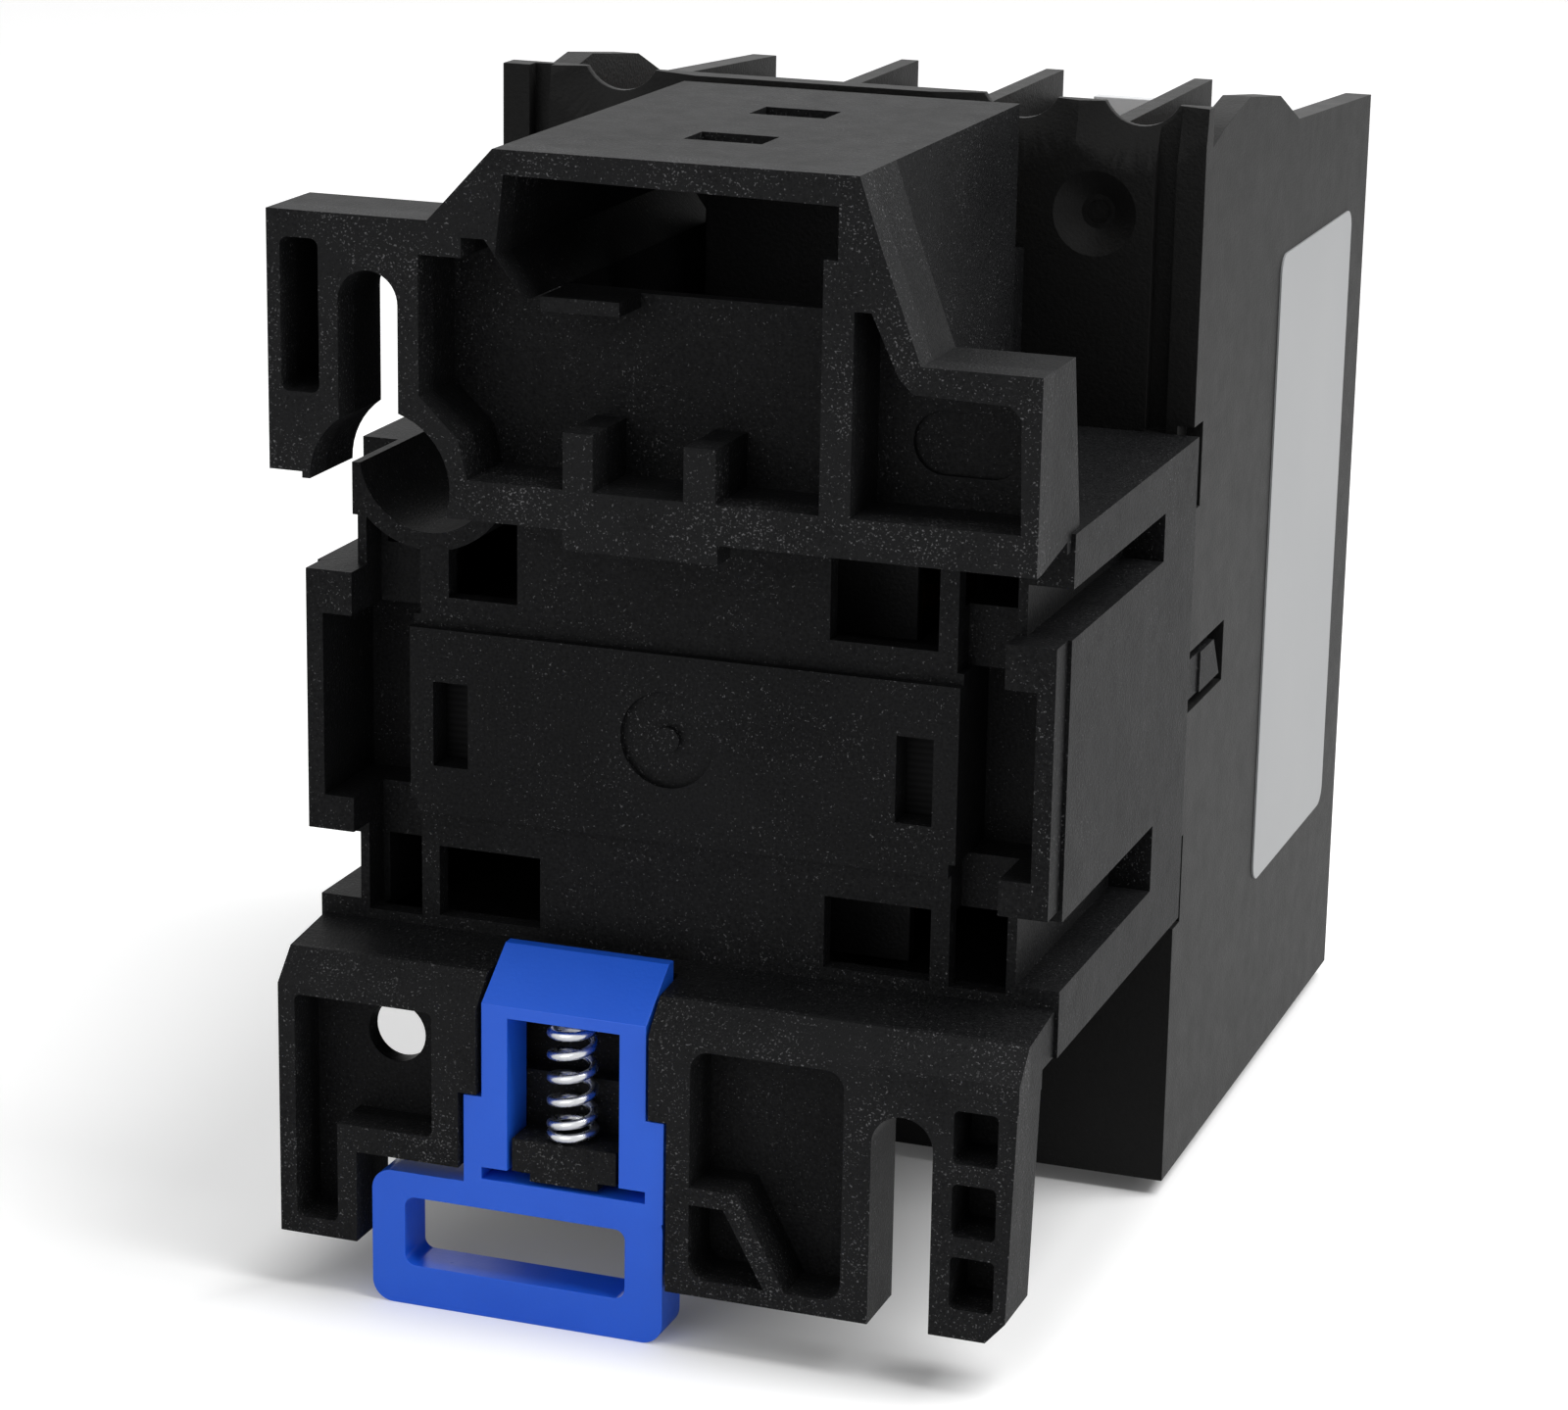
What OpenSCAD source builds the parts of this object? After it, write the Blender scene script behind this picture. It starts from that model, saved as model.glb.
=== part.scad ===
// Control relay of contactor build: three main poles and one auxiliary pole, rail or screw mounting.
// All modules are drawn in the rear frame: seen from behind, u runs right, v up from the feet
// and w forwards from the mounting face. rear_frame() turns that into the part's own frame.

/* [Overall] */
// Width over the base's side walls
width = 56.5; // [55.5:0.5:60]
// Depth from the mounting face to the front
depth = 97; // [95:0.5:104]
// Depth of the base, from the mounting face to the joint
base_depth = 41; // [40.5:0.5:44]
// Height of the roof over the feet
roof_height = 80.8; // [80.4:0.2:84]
// How far the contact housing reaches below the feet
skirt = 3.15; // [2:0.05:4]
// How far the clip's pull loop hangs below the feet
loop_drop = 4.4; // [4.2:0.1:6]
// Height of the magnet's and contacts' centre line over the feet
axis_height = 37.5; // [37.2:0.1:37.8]

/* [Base] */
// Outer wall of the base
wall = 2; // [1.8:0.1:2.2]
// Ribs and rims
rib = 1.3; // [1.1:0.1:1.5]
// Height over the feet of the coil box's underside
box_bottom = 18.6; // [18.2:0.1:18.8]
// Height over the feet of the coil box's top
box_top = 56.25; // [56.1:0.05:56.6]
// Thickness of the mounting foot
foot_t = 5.5; // [5:0.1:6]
// Thickness of the left mounting ear
ear_t = 7; // [6.9:0.1:7.4]
// Height of the left ear's top
left_ear_top = 75.6; // [75.2:0.1:76]
// Height of the right ear's top
right_ear_top = 68.5; // [68:0.1:69]

/* [Rail groove] */
// Height of the upper lip over the feet
lip_height = 55; // [54.8:0.05:55.2]
// Height of the lower ledge over the feet
ledge_height = 19.2; // [19:0.1:19.4]
// Depth of the groove's floor
groove_depth = 8.1; // [7.9:0.1:8.4]
// How far the middle pad stands out of the floor
pad_rise = 0.8; // [0.5:0.1:1]
// Depth of the side cheeks' rear edge
cheek_depth = 5.5; // [5.2:0.1:6]

/* [Mounting holes] */
// Width of the mounting slots
slot_w = 4.5; // [4.4:0.1:4.6]
// Distance of the keyhole from the left edge
keyhole_u = 7.9; // [7.7:0.1:8.1]
// Distance of the open slot from the right edge
open_slot_inset = 8.6; // [8.4:0.1:8.8]
// Diameter of the keyhole's head opening
head_hole_d = 10.6; // [10.4:0.1:10.8]
// Diameter of the foot's round hole
foot_hole_d = 4.5; // [4.3:0.1:4.6]

/* [Rail clip] */
// Thickness of the clip
clip_t = 3.6; // [3.4:0.1:3.8]
// Width of the clip's hook
clip_w = 12.6; // [12.2:0.1:12.8]
// Distance of the clip's centre from the left edge
clip_u = 22.45; // [22.3:0.05:22.6]
// Outer diameter of the clip's spring
clip_spring_d = 3.8; // [3.5:0.1:4]
// How far the clip pulls down
clip_travel = 4; // [3:0.5:4]
// Running clearance round the clip
clip_gap = 0.3; // [0.25:0.05:0.4]

/* [Contact housing] */
// How far the contact housing stands in from the base's sides
housing_inset = 0.4; // [0.2:0.1:0.6]
// Side wall of the contact housing
housing_wall = 2.2; // [2:0.1:2.4]
// Wall between two poles
fin_t = 1.6; // [1.4:0.1:1.8]
// Height of the walls round the front of the terminals
fin_top = 74.8; // [74.4:0.1:75.2]
// Front and rear walls of the contact housing
panel_t = 2; // [1.8:0.1:2.2]

/* [Magnet and coil] */
// Distance of the magnet cores from the base's sides
core_side = 8.75; // [8.7:0.05:8.95]
// Height of the magnet cores' stack
core_stack = 15; // [14.6:0.2:15.4]
// Width of the cores' middle leg
core_leg = 10; // [9.8:0.1:10.2]
// Thickness of the fixed core's back
core_back = 7; // [6.8:0.1:7.2]
// Travel of the armature when the coil is live
travel = 5.5; // [5:0.1:5.6]
// Gap that the closed armature keeps from the fixed core
pole_gap = 0.1; // [0.1:0.05:0.2]
// Wall of the coil bobbin
bobbin_t = 1; // [0.9:0.1:1.1]

/* [Contacts] */
// Thickness of the contact strips and bridges
strip_t = 1.5; // [1.4:0.1:1.6]
// Gap between two contact strips
strip_room = 5.2; // [5:0.1:5.6]
// Width of the contact bridges
bridge_w = 6; // [5.6:0.2:6.2]
// Length of the contact bridges
bridge_l = 25; // [24.4:0.2:25.6]
// Diameter of a contact tip
tip_d = 4.6; // [4.2:0.2:5]
// Thickness of a contact tip
tip_t = 1.2; // [1:0.1:1.3]
// Over-travel that presses the closed contacts
over_travel = 2; // [1.6:0.1:2.2]
// Thread diameter of the terminal screws
screw_d = 4; // [3.8:0.1:4]

/* [Hidden] */
$fn = 48;
eps = 0.01;
cut = 1;
mid = width / 2;
slide_gap = 0.5;

// Joint with the contact housing and what lies either side of it
floor_t = 1.5;
cushion_t = 0.8;
core_rear = groove_depth + floor_t + cushion_t;
pole_face = base_depth - 11;
bobbin_front = pole_face + 4.8;
armature_leg = 5;
armature_back = 6;
armature_rear = pole_face + pole_gap + travel;
armature_front = armature_rear + armature_leg + armature_back;
core_half = mid - core_side;
leg_w = core_leg / 2;
stack_half = core_stack / 2;
window_edge = core_half - leg_w;

// Base
lip_top = lip_height + 1.25;
ear_foot = lip_height + 1.8;
panel_foot = lip_height + 2.8;
box_in_top = box_top - wall + 0.35;
box_in_bottom = box_bottom + wall - 0.2;
side_in = wall;
left_edge = 0.3;
roof_left = 17.2;
roof_right = width - 13.2;
roof_depth = base_depth - 5;
roof_t = 1.7;
inner_left = roof_left + 2.4;
panel_depth = 6.2;
ear_right_t = 9;
keyhole_top = 71.8;
head_hole = [keyhole_u + 0.8, box_top + 0.65];
channel_end = base_depth - 3;
open_slot_u = width - open_slot_inset;
open_slot_top = 15.8;
foot_hole = [keyhole_u, 15.1];
tunnel_floor = 70.6;
post_left = width - 15.6;
post_right = width - 13.4;
terminal_row = roof_height - 6.4;
coil_terminal_u = [roof_left + 6.2, post_left - 4.5];
side_slots = [[48.8, 52.4], [23.5, 28.6]];
side_slot_end = 32;
slot_backing = 4.4;
snap_windows = [[50.4, 56.9, 2.6], [34.4, 39.2, 12], [17.6, 24.6, 2]];

// Clip: heights over the feet
clip_rear = 0.3;
clip_front = clip_rear + clip_t;
clip_foot = 6.3;
clip_shoulder = 12.6;
clip_beam = 18.8;
hook_bottom = 19.7;
hook_top = 22.9;
hook_depth = 5.6;
loop_top = 5.9;
loop_left = 7.5;
clip_half = clip_w / 2;
shoulder_half = clip_half + 1.4;
window_half = 4.3;
rail_groove = 0.6;
channel_half = shoulder_half + clip_gap;
clip_post_top = 9.7;
clip_spring_w = clip_rear + clip_spring_d / 2;

// Contact housing
shell_left = housing_inset;
shell_right = width - housing_inset;
shell_in_left = shell_left + housing_wall;
shell_in_right = shell_right - housing_wall;
deck = 20;
deck_t = 1.5;
front_wall_top = fin_top - 2.5;
rear_wall_top = fin_top + 5.7;
scallop_v = rear_wall_top + 1.5;
terminal_height = 27;
access_d = 7.4;
shelf_w = base_depth + 19.2;
shelf_t = 1.8;
strip_w0 = shelf_w + shelf_t;
tip_w0 = strip_w0 + strip_t;
contact_gap = travel - over_travel + 0.05;
bridge_tip_w = tip_w0 + tip_t + contact_gap;
bridge_rear = bridge_tip_w + tip_t;
bridge_front = bridge_rear + strip_t;
spring_room = 8.8;
window_front = bridge_front + spring_room;
carrier_front = window_front + 1.8;
carrier_half = 4.5;
carrier_wing = armature_front + 0.4;
wing_t = 2;
lug_t = 1.5;
pin_d = 3;
terminal_w = base_depth + 39;
terminal_front = terminal_w + strip_t;
washer_t = 1.2;
screw_head_t = 2.6;
terminal_reach = 33.5;
pole_pitch = (shell_in_right - shell_in_left + fin_t) / 4;
strip_w = pole_pitch - strip_room;
pole_u = [for (i = [-1.5:1:1.5]) mid + i * pole_pitch];
wall_u = [for (i = [-1:1:1]) mid + i * pole_pitch];
cover_rear = depth - 2.2;

// ---- drawing helpers ----

// Turns the rear frame into the part's frame: z up, front at -y, the pull loop's bottom at z = 0.
module rear_frame() translate([width / 2, depth / 2, loop_drop]) mirror([1, 0, 0]) rotate([90, 0, 0])
    children();

// A box between two corners.
module block(a, b) translate(a) cube(b - a);

// A flat outline in u and v, from depth w0 to w1.
module plate(w0, w1) translate([0, 0, w0]) linear_extrude(w1 - w0) children();

// A side profile in v and w, from u0 to u1.
module across(u0, u1) translate([u0, 0, 0]) rotate([90, 0, 90]) linear_extrude(u1 - u0) children();

// A round bar along w.
module bar(at, w0, w1, d) translate([at[0], at[1], w0]) cylinder(d = d, h = w1 - w0);

// The same shape on both sides of the middle.
module both_sides() {
    children();
    translate([width, 0, 0]) mirror([1, 0, 0]) children();
}

// The same shape over and under the contacts' centre line.
module top_and_bottom() {
    children();
    bottom_only() children();
}
module bottom_only() translate([0, 2 * axis_height, 0]) mirror([0, 1, 0]) children();

// A rounded rectangle between two corners.
module round_rect(a, b, r) {
    translate([a[0] + r, a[1]]) square([b[0] - a[0] - 2 * r, b[1] - a[1]]);
    translate([a[0], a[1] + r]) square([b[0] - a[0], b[1] - a[1] - 2 * r]);
    for (u = [a[0] + r, b[0] - r], v = [a[1] + r, b[1] - r]) translate([u, v]) circle(r);
}

// ---- springs ----

// Height of the wire's centre after a share t of the turns: one flat turn at each end.
function wire_rise(t, turns, length, wire) =
    let (flat = 1 / turns, lift = wire * 1.05, span = length - wire - 2 * lift)
    t < flat ? t / flat * lift
    : t > 1 - flat ? length - wire - (1 - t) / flat * lift
    : lift + (t - flat) / (1 - 2 * flat) * span;

// A round-wire compression spring along +w, its ends at w = 0 and w = length.
module coil_spring(d, wire, length, turns, steps = 12, sides = 6) {
    rings = turns * steps;
    r = (d - wire) / 2;
    points = [for (i = [0:rings], k = [0:sides - 1])
        let (a = 360 * i / steps, b = 360 * k / sides,
            z = wire / 2 + wire_rise(i / rings, turns, length, wire) + sin(b) * wire / 2,
            q = r + cos(b) * wire / 2)
        [q * cos(a), q * sin(a), z]];
    skin = [for (i = [0:rings - 1], k = [0:sides - 1])
        let (n = (k + 1) % sides, a = i * sides, b = a + sides)
        [a + k, b + k, b + n, a + n]];
    caps = [[for (k = [0:sides - 1]) k], [for (k = [sides - 1:-1:0]) rings * sides + k]];
    polyhedron(points, concat(skin, caps), convexity = 10);
}

// ---- base ----

module base_housing() color("#1d1e20") rear_frame() {
    difference() {
        union() {
            coil_box();
            both_sides() cheek();
            upper_block();
            foot();
        }
        difference() {
            union() {
                coil_room();
                both_sides() cheek_pocket();
                floor_windows();
            }
            // shell of the driver channel behind the keyhole
            bar(head_hole, -cut, base_depth + 2 * cut, head_hole_d + 2 * rib);
        }
        both_sides() side_slot_cuts();
        gate_mark();
        lip_groove();
        keyhole();
        ear_pockets();
        roof_cuts();
        foot_cuts();
    }
    panel_ribs();
    spring_post();
    both_sides() snap_tongue();
}

// Tongue that snaps into the contact housing's side window.
module snap_tongue() {
    v = (snap_windows[1][0] + snap_windows[1][1]) / 2;
    block([left_edge + 0.3, v - 1.6, base_depth - 2], [shell_left + 1.1, v + 1.6, base_depth + 9]);
    across(left_edge + 0.1, shell_left + 1.1) polygon([[v - 1.6, base_depth + 5], [v + 1.6, base_depth + 5],
        [v + 1.6, base_depth + 9], [v - 1.6, base_depth + 11]]);
}

module coil_box() {
    block([0, box_bottom, groove_depth], [width, box_top, base_depth]);
    // raised pad between the rail's flanges
    block([7.6, 31, groove_depth - pad_rise], [width - 7.6, lip_height - 10.2, groove_depth + cut]);
    // sloped ledge under the rail
    across(left_edge, width - left_edge) polygon([[ledge_height - 2, 0], [ledge_height, 0],
        [ledge_height + 2.2, 2.2], [ledge_height + 3, groove_depth + cut], [box_bottom, groove_depth + cut],
        [box_bottom, foot_t], [ledge_height - 2, foot_t]]);
}

// Room for the magnet and coil, open to the front.
module coil_room() {
    difference() {
        block([side_in, box_in_bottom, groove_depth + floor_t], [width - side_in, box_in_top, base_depth + cut]);
        both_sides() block([-cut, 28, 0], [8.4, 50, 15]);
        both_sides() for (s = side_slots)
            block([-cut, s[0] - rib, 0], [slot_backing, s[1] + rib, side_slot_end + rib]);
    }
    // window for the coil's terminal tower
    block([inner_left, box_in_top - cut, 24], [post_left, box_top + cut, base_depth + cut]);
}

// C-shaped side cheek that reaches into the rail's hollow.
module cheek() {
    block([left_edge, 29.4, cheek_depth], [left_edge + rib, 48.8, groove_depth + cut]);
    for (v = [[45.6, 48.8], [29.4, 32]])
        block([left_edge, v[0], cheek_depth], [3.9, v[1], groove_depth + cut]);
}

module cheek_pocket() {
    block([left_edge + rib, 32, -cut], [7.6, 45.6, 14]);
    block([3.9, 45.6, cheek_depth - cut], [8.1, 53, groove_depth + floor_t + cut]);
    block([3.9, 22.8, cheek_depth - cut], [8.1, 32, groove_depth + floor_t + cut]);
}

module side_slot_cuts()
    for (s = side_slots)
        block([-cut, s[0], 0], [3.2, s[1], side_slot_end]);

module floor_windows() {
    through = groove_depth + floor_t + cut;
    block([10.3, lip_height - 8, 0], [15.6, lip_height - 1.8, through]);
    block([width - 17.4, lip_height - 8, 0], [width - 9.5, lip_height - 1.8, through]);
    both_sides() {
        block([9.5, box_bottom + 4.4, 0], [17.4, box_bottom + 9.7, through]);
        block([9.4, 34.6, 0], [12.1, 40.9, through]);
    }
}

// Round recess that the moulding gate leaves in the middle pad.
module gate_mark() plate(groove_depth - pad_rise - cut, groove_depth - pad_rise + 0.5)
    translate([mid - 0.85, axis_height + 1.1]) difference() {
        circle(d = 7.1);
        circle(d = 1.8);
    }

// Outline of the upper block, from the left ear round the roof to the right ear.
module upper_block() {
    plate(0, ear_t) polygon([[left_edge, ear_foot], [left_edge, left_ear_top], [15, left_ear_top], [15, ear_foot]]);
    for (step = [[0, groove_depth, lip_top - 1], [groove_depth - eps, roof_depth, box_top - 1]])
        plate(step[0], step[1]) polygon([[12, step[2]], [12, left_ear_top], [12.4, left_ear_top],
            [roof_left, roof_height], [roof_right, roof_height], [roof_right, step[2]]]);
    // web that runs down from the roof to the right ear
    plate(0, ear_right_t - 1.5) polygon([[roof_right - 2, roof_height], [roof_right, roof_height],
        [roof_right + 1.5, terminal_row + 2], [roof_right + 4.5, right_ear_top], [roof_right + 4.5, lip_top - 1],
        [roof_right - 2, lip_top - 1]]);
    // the coil terminals' yard in front of the roof
    for (u = [12, roof_right - 2.2])
        block([u, box_top - 1, roof_depth - eps], [u + 1.4, terminal_row - 5, base_depth]);
    // right ear, thicker towards its foot
    across(roof_right + 0.7, width - left_edge) polygon([[lip_height, 0], [right_ear_top, 0],
        [right_ear_top, ear_right_t - 1.5], [lip_top, ear_right_t + 1], [lip_height, ear_right_t + 1]]);
    block([12, lip_height, 0], [width - left_edge, lip_top, groove_depth + cut]);
    // hanging tab over the rail
    block([22.4, lip_height - 1.4, 0], [33.7, lip_height + cut, 2.6]);
}

module lip_groove()
    across(15.4, width + cut) polygon([[lip_height - 3, 2.7], [lip_height, 2.7], [lip_height, 1],
        [lip_height + 0.9, groove_depth - 1], [lip_height - 3, groove_depth - 1]]);

module keyhole() {
    plate(-cut, groove_depth + 2 * cut) {
        translate([keyhole_u, keyhole_top - slot_w / 2]) circle(d = slot_w);
        translate([keyhole_u - slot_w / 2, head_hole[1]]) square([slot_w, keyhole_top - slot_w / 2 - head_hole[1]]);
    }
    // head opening, and the open channel that leads to it along the coil box
    bar(head_hole, -cut, channel_end, head_hole_d);
    // the box's corner is cut back beside it
    block([-cut, side_slots[0][1] - eps, -cut], [2.8, box_top + cut, 16]);
}

module ear_pockets() {
    plate(-cut, ear_t - 1) round_rect([1.3, ear_foot + 6.1], [4.2, left_ear_top - 1.9], 0.6);
    // right ear, with the outline of a closed slot in its floor
    plate(-cut, panel_depth - 0.5) polygon([[post_right, panel_foot], [post_right, 71.8], [roof_right + 1, 71.8],
        [roof_right + 3, 67.6], [roof_right + 4, 66.6], [width - 2.5, 66.4], [width - 1.7, 65.6],
        [width - 1.5, panel_foot]]);
    plate(-cut, panel_depth) round_rect([width - 10.9, panel_foot + 2.2], [width - 3.1, panel_foot + 2.2 + slot_w], slot_w / 2 - eps);
    // recessed panel between the ears
    plate(-cut, panel_depth) polygon([[15.3, panel_foot], [14.6, panel_foot + 2.8], [11.7, panel_foot + 5.6],
        [11.7, 73.2], [14.9, 73.2],
        [14.9, 74.6], [16.6, 74.6], [inner_left, tunnel_floor],
        [post_left, tunnel_floor], [post_left, panel_foot]]);
}

// The tunnel over the panel, and the room for the coil's terminal tower in front of it.
module roof_cuts() {
    plate(-cut, roof_depth + cut) polygon([[roof_left + 0.8, roof_height - roof_t],
        [roof_right - 1.4, roof_height - roof_t - 0.4], [roof_right - 1.4, terminal_row + 0.7],
        [post_left, terminal_row + 0.7], [post_left, tunnel_floor], [inner_left, tunnel_floor],
        [roof_left + 0.2, tunnel_floor + 3]]);
    block([inner_left, box_top - 2, panel_depth + rib], [post_left, tunnel_floor + cut, base_depth + cut]);
    block([inner_left, box_top - 2, roof_depth], [post_left, roof_height, base_depth + cut]);
    for (w = [9.8, 22.8]) block([27.2, roof_height - 4, w], [32.9, roof_height + cut, w + 3.6]);
}

// Ribs over the hanging tab, and the small sill in the tunnel's mouth.
module panel_ribs() {
    block([22.4, panel_foot - eps, 0], [24.6, panel_foot + 4, panel_depth + eps]);
    block([31.2, panel_foot - eps, 0], [33.5, panel_foot + 3.8, panel_depth + eps]);
    block([19.8, tunnel_floor - 1, 2.2], [25.6, tunnel_floor, panel_depth + eps]);
}

// The mounting foot: left leg, clip channel, right pocket and right leg.
module foot() {
    plate(0, foot_t) polygon([[left_edge, 0], [6.4, 0], [6.4, 7], [clip_u - channel_half, 7],
        [clip_u - channel_half, 5.6], [clip_u + channel_half, 5.6], [clip_u + channel_half, 0],
        [width - 2.2, 0], [width - 0.8, 1.6], [width - left_edge, ledge_height], [left_edge, ledge_height]]);
    // floor behind the clip's hook
    block([clip_u - channel_half - rib, 12, foot_t - cut],
        [clip_u + channel_half + rib, box_bottom + eps, hook_depth + clip_gap + 1.4]);
}

module foot_cuts() {
    pocket_left = clip_u + channel_half + 1.75;
    // left pocket and the round hole in its floor
    plate(-cut, foot_t - 1.5) {
        round_rect([left_edge + rib, 9], [12.4, ledge_height - 0.7], 0.5);
        round_rect([left_edge + rib, rib], [4.9, 11], 0.5);
    }
    bar(foot_hole, -cut, foot_t + cut, foot_hole_d);
    // clip channel
    block([clip_u - channel_half, -cut, -cut], [clip_u + channel_half, clip_shoulder + 0.2, clip_front + clip_gap]);
    block([clip_u - channel_half - rail_groove, -cut, 1.2], [clip_u + channel_half + rail_groove, clip_shoulder + 0.2, 2.9]);
    block([clip_u - clip_half - clip_gap, 0, -cut], [clip_u + clip_half + clip_gap, hook_top + 2, clip_front + clip_gap]);
    block([clip_u - clip_half - clip_gap, hook_bottom - clip_travel - 2, -cut],
        [clip_u + clip_half + clip_gap, hook_top + 2, hook_depth + clip_gap]);
    // right pocket, with a sloping rib across its lower corner
    difference() {
        plate(-cut, foot_t - 1.2) round_rect([pocket_left, rib], [open_slot_u - 4.3, ledge_height - 0.7], 1.4);
        translate([pocket_left, 0, 0]) plate(-2 * cut, foot_t)
            polygon([[-2.2, 8.2], [3.6, 8.2], [8, 0], [6.4, 0], [2.6, 6.9], [-2.2, 6.9]]);
    }
    // open slot
    plate(-cut, foot_t + cut) {
        translate([open_slot_u, open_slot_top - slot_w / 2]) circle(d = slot_w);
        translate([open_slot_u - slot_w / 2, -cut]) square([slot_w, open_slot_top - slot_w / 2 + cut]);
    }
    // three pockets in the right leg
    for (v = [2.2, 7.6, 13]) plate(-cut, foot_t - 1.2) round_rect([width - 4.9, v], [width - 1.7, v + 3.9], 0.4);
}

// Fixed post that the clip's spring stands on.
module spring_post() {
    block([clip_u - window_half + clip_gap, clip_foot + 0.9, 0.5],
        [clip_u + window_half - clip_gap, clip_post_top, clip_front + clip_gap + eps]);
    block([clip_u - 2.6, clip_foot + clip_gap, 0.5], [clip_u + 2.6, clip_post_top, clip_front + clip_gap + eps]);
}

// ---- rail clip ----

module din_clip() color("#1946c8") rear_frame() difference() {
    union() {
        plate(clip_rear, clip_front) {
            translate([clip_u - clip_half, clip_foot]) square([clip_w, hook_bottom - clip_foot]);
            translate([clip_u - shoulder_half, loop_top - 1]) square([2 * shoulder_half, clip_shoulder - loop_top + 1]);
            round_rect([loop_left, -loop_drop], [clip_u + shoulder_half, loop_top], 1.6);
        }
        // side tongues that run in the channel's grooves
        block([clip_u - shoulder_half - rail_groove, loop_top + 1.5, 1.5],
            [clip_u + shoulder_half + rail_groove, clip_shoulder, 2.6]);
        // sloped hook that snaps over the rail's lower flange
        across(clip_u - clip_half, clip_u + clip_half) polygon([[clip_beam, clip_rear], [hook_bottom, clip_rear],
            [hook_top, hook_depth - 0.9], [hook_top, hook_depth], [clip_beam, hook_depth]]);
    }
    // spring window, with a slit under the post's shoulders
    plate(-cut, hook_depth + cut) {
        translate([clip_u - window_half, clip_foot]) square([2 * window_half, clip_beam - clip_foot]);
        translate([clip_u - clip_half, clip_foot]) square([clip_w, 0.9]);
        round_rect([loop_left + 2.6, -loop_drop + 3.1], [clip_u + shoulder_half - 2.9, loop_top - 1.9], 0.8);
    }
}

module din_clip_spring() color("#c9ccd0") rear_frame()
    translate([clip_u, clip_post_top, clip_spring_w]) rotate([-90, 0, 0])
        coil_spring(clip_spring_d, 0.68, clip_beam - clip_post_top, 6, 16, 8);

// ---- contact housing ----

// Side profile of the outer walls.
module shell_profile()
    polygon([[-skirt, base_depth], [-skirt, depth], [fin_top - 0.4, depth], [fin_top + 1.1, base_depth + 29.6],
        [fin_top + 3.8, base_depth + 22.8], [fin_top + 5, base_depth + 12.9], [fin_top + 3.7, base_depth + 5.3],
        [fin_top + 2.1, base_depth]]);

module contact_housing() color("#26282b") rear_frame() difference() {
    union() {
        across(shell_left, shell_in_left) shell_profile();
        across(shell_in_right, shell_right) shell_profile();
        for (u = wall_u) block([u - fin_t / 2, -skirt, base_depth], [u + fin_t / 2, fin_top, depth]);
        block([shell_left, -skirt, base_depth], [shell_right, rear_wall_top, base_depth + panel_t]);
        top_and_bottom() {
            block([shell_left, axis_height + deck, base_depth], [shell_right, axis_height + deck + deck_t, depth]);
            block([shell_left, axis_height + deck, depth - panel_t], [shell_right, front_wall_top, depth]);
            block([shell_left, axis_height + 7.2, shelf_w], [shell_right, axis_height + deck + eps, strip_w0]);
        }
    }
    // room for the armature, the return springs and the carrier's wings
    block([mid - core_half - 0.4, box_in_bottom + 0.2, base_depth - cut],
        [mid + core_half + 0.4, box_in_top - 0.2, shelf_w]);
    block([shell_in_left, axis_height - carrier_half - slide_gap, armature_front],
        [shell_in_right, axis_height + carrier_half + slide_gap, depth + cut]);
    // seat of the cover
    block([shell_in_left, axis_height - deck, cover_rear], [shell_in_right, axis_height + deck, depth + cut]);
    top_and_bottom() {
        // slots that pass the contact strips, and the screwdriver openings
        for (u = pole_u) {
            block([u - strip_w / 2 - 0.1, axis_height + deck - cut, strip_w0],
                [u + strip_w / 2 + 0.1, axis_height + deck + deck_t + cut, tip_w0 + 0.1]);
            bar([u, axis_height + terminal_height], depth - panel_t - cut, depth + cut, access_d);
        }
    }
    rear_wall_cuts();
    side_windows();
}

// Wire scallops, driver openings for the coil terminals and grooves beside the side walls.
module rear_wall_cuts() {
    for (u = [pole_u[0] + 1.2, pole_u[3] - 6.6, pole_u[3] + 2.7]) {
        bar([u, scallop_v], base_depth - cut, base_depth + panel_t + cut, 6.4);
        translate([u, scallop_v, base_depth - eps]) cylinder(d1 = 13.6, d2 = 6, h = 1.4);
    }
    for (u = coil_terminal_u) bar([u, terminal_row], base_depth - cut, base_depth + panel_t + cut, access_d);
    // round dimple under the scallops
    translate([pole_u[3] - 0.3, 72.3, base_depth - eps]) cylinder(d1 = 6.4, d2 = 2.6, h = 1.2);
    bar([pole_u[3] - 0.3, 72.3], base_depth - cut, base_depth + panel_t - 0.4, 1.8);
    both_sides() block([shell_in_left, box_top, base_depth - cut], [shell_in_left + 1.6, rear_wall_top + cut, base_depth + 1.2]);
}

// Snap windows in the side walls beside the joint.
module side_windows() both_sides() for (s = snap_windows)
    block([-cut, s[0], base_depth - cut], [shell_left + 1.3, s[1], base_depth + s[2]]);

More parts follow.
